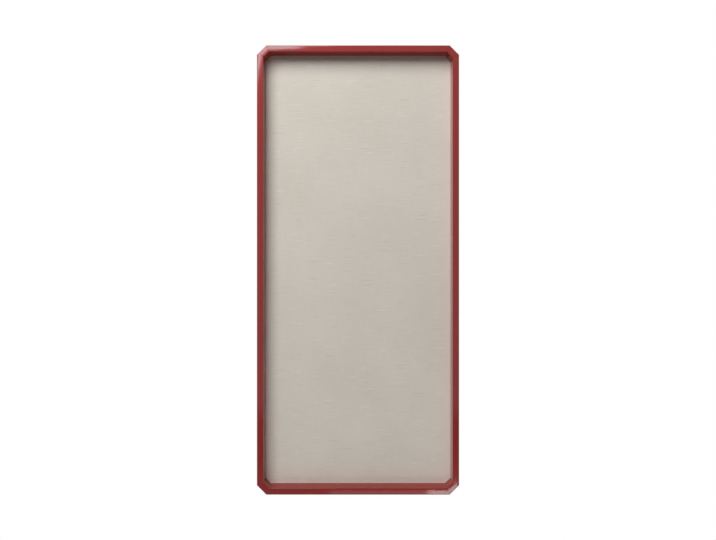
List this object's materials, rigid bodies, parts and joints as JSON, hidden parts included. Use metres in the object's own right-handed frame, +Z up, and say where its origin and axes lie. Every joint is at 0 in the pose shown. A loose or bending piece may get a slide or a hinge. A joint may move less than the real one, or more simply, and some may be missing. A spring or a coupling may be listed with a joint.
{
  "type": "notice board",
  "caption": "Tall linen-covered notice board in a deep lacquered frame with clipped corners, held in by turn buttons and hung by two ring hangers.",
  "frame": {"origin": "middle of the board's width and height, in the plane of the wall that the four pads rest on", "axes": "+X to the right seen from the front, +Y towards the wall, +Z up along the height"},
  "size_m": [0.45, 0.054, 1],
  "materials": {
    "lacquer": "high gloss dark red lacquer on wood",
    "linen": "woven slub linen, matt",
    "softboard": "soft wood-fibre pinning board",
    "hardboard": "thin brown hardboard, smooth side out",
    "beech": "plain beech",
    "plated_steel": "bright zinc-plated steel",
    "black_rubber": "matt black rubber"
  },
  "bodies": {
    "board": {"frame_top_rail": "lacquer", "frame_corner_top_right": "lacquer", "frame_right_stile": "lacquer", "frame_corner_bottom_right": "lacquer", "frame_bottom_rail": "lacquer", "frame_corner_bottom_left": "lacquer", "frame_left_stile": "lacquer", "frame_corner_top_left": "lacquer", "mitre_key_1": "beech", "mitre_key_2": "beech", "mitre_key_3": "beech", "mitre_key_4": "beech", "mitre_key_5": "beech", "mitre_key_6": "beech", "mitre_key_7": "beech", "mitre_key_8": "beech", "linen_cover": "linen", "pin_core": "softboard", "backing_panel": "hardboard", "button_screw_1": "plated_steel", "button_screw_2": "plated_steel", "button_screw_3": "plated_steel", "button_screw_4": "plated_steel", "button_screw_5": "plated_steel", "button_screw_6": "plated_steel", "button_screw_7": "plated_steel", "button_screw_8": "plated_steel", "button_screw_9": "plated_steel", "button_screw_10": "plated_steel", "hanger_strap_left": "plated_steel", "hanger_strap_right": "plated_steel", "hanger_screw_1": "plated_steel", "hanger_screw_2": "plated_steel", "hanger_screw_3": "plated_steel", "hanger_screw_4": "plated_steel", "wall_pad_top_left": "black_rubber", "wall_pad_top_right": "black_rubber", "wall_pad_bottom_left": "black_rubber", "wall_pad_bottom_right": "black_rubber"},
    "turn_button_left_1": {"turn_button_left_1": "plated_steel"},
    "turn_button_left_2": {"turn_button_left_2": "plated_steel"},
    "turn_button_left_3": {"turn_button_left_3": "plated_steel"},
    "turn_button_right_1": {"turn_button_right_1": "plated_steel"},
    "turn_button_right_2": {"turn_button_right_2": "plated_steel"},
    "turn_button_right_3": {"turn_button_right_3": "plated_steel"},
    "turn_button_top_1": {"turn_button_top_1": "plated_steel"},
    "turn_button_top_2": {"turn_button_top_2": "plated_steel"},
    "turn_button_bottom_1": {"turn_button_bottom_1": "plated_steel"},
    "turn_button_bottom_2": {"turn_button_bottom_2": "plated_steel"},
    "hanger_ring_left": {"hanger_ring_left": "plated_steel"},
    "hanger_ring_right": {"hanger_ring_right": "plated_steel"}
  },
  "joints": [
    {"name": "turn_button_left_1_turn", "type": "hinge", "parent": "board", "child": "turn_button_left_1", "pos_m": [-0.21935, -0.0057, -0.32], "axis": [0, 1, 0], "continuous": true},
    {"name": "turn_button_left_2_turn", "type": "hinge", "parent": "board", "child": "turn_button_left_2", "pos_m": [-0.21935, -0.0057, 0], "axis": [0, 1, 0], "continuous": true},
    {"name": "turn_button_left_3_turn", "type": "hinge", "parent": "board", "child": "turn_button_left_3", "pos_m": [-0.21935, -0.0057, 0.32], "axis": [0, 1, 0], "continuous": true},
    {"name": "turn_button_right_1_turn", "type": "hinge", "parent": "board", "child": "turn_button_right_1", "pos_m": [0.21935, -0.0057, -0.32], "axis": [0, 1, 0], "continuous": true},
    {"name": "turn_button_right_2_turn", "type": "hinge", "parent": "board", "child": "turn_button_right_2", "pos_m": [0.21935, -0.0057, 0], "axis": [0, 1, 0], "continuous": true},
    {"name": "turn_button_right_3_turn", "type": "hinge", "parent": "board", "child": "turn_button_right_3", "pos_m": [0.21935, -0.0057, 0.32], "axis": [0, 1, 0], "continuous": true},
    {"name": "turn_button_top_1_turn", "type": "hinge", "parent": "board", "child": "turn_button_top_1", "pos_m": [-0.11, -0.0057, 0.49435], "axis": [0, 1, 0], "continuous": true},
    {"name": "turn_button_top_2_turn", "type": "hinge", "parent": "board", "child": "turn_button_top_2", "pos_m": [0.11, -0.0057, 0.49435], "axis": [0, 1, 0], "continuous": true},
    {"name": "turn_button_bottom_1_turn", "type": "hinge", "parent": "board", "child": "turn_button_bottom_1", "pos_m": [-0.11, -0.0057, -0.49435], "axis": [0, 1, 0], "continuous": true},
    {"name": "turn_button_bottom_2_turn", "type": "hinge", "parent": "board", "child": "turn_button_bottom_2", "pos_m": [0.11, -0.0057, -0.49435], "axis": [0, 1, 0], "continuous": true},
    {"name": "hanger_ring_left_swing", "type": "hinge", "parent": "board", "child": "hanger_ring_left", "pos_m": [-0.218, -0.0034, 0.39], "axis": [1, 0, 0], "range_deg": [0, 180]},
    {"name": "hanger_ring_right_swing", "type": "hinge", "parent": "board", "child": "hanger_ring_right", "pos_m": [0.218, -0.0034, 0.39], "axis": [1, 0, 0], "range_deg": [0, 180]}
  ]
}
